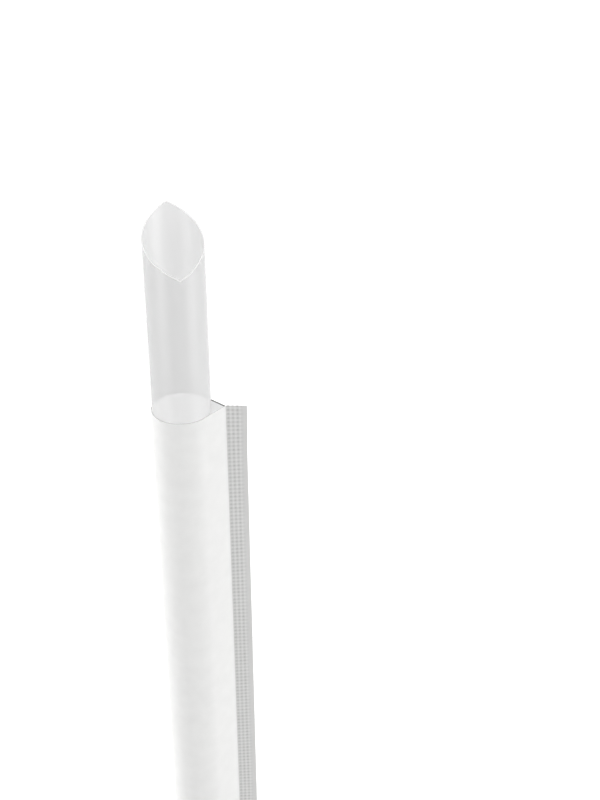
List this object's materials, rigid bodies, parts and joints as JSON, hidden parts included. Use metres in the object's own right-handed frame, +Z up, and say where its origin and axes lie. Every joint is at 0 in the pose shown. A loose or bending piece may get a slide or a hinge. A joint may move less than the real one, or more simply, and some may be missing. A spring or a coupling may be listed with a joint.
{
  "type": "wrapped drinking straw",
  "caption": "Wide clear drinking straw with a slanted tip, standing out of the torn-open end of its crimped paper wrapper.",
  "frame": {"origin": "middle of the bounding box in X and Y, on the surface that the wrapped straw lies on", "axes": "+Y along the straw towards its slanted tip, +X sideways towards the wrapper's fin seal, +Z up"},
  "size_m": [0.0248, 0.25, 0.0124],
  "materials": {
    "straw_plastic": "clear polypropylene, smooth from extrusion",
    "wrapper_paper": "thin white uncoated paper, crimped at its seals"
  },
  "bodies": {
    "root": {"straw": "straw_plastic", "wrapper": "wrapper_paper"}
  },
  "joints": []
}
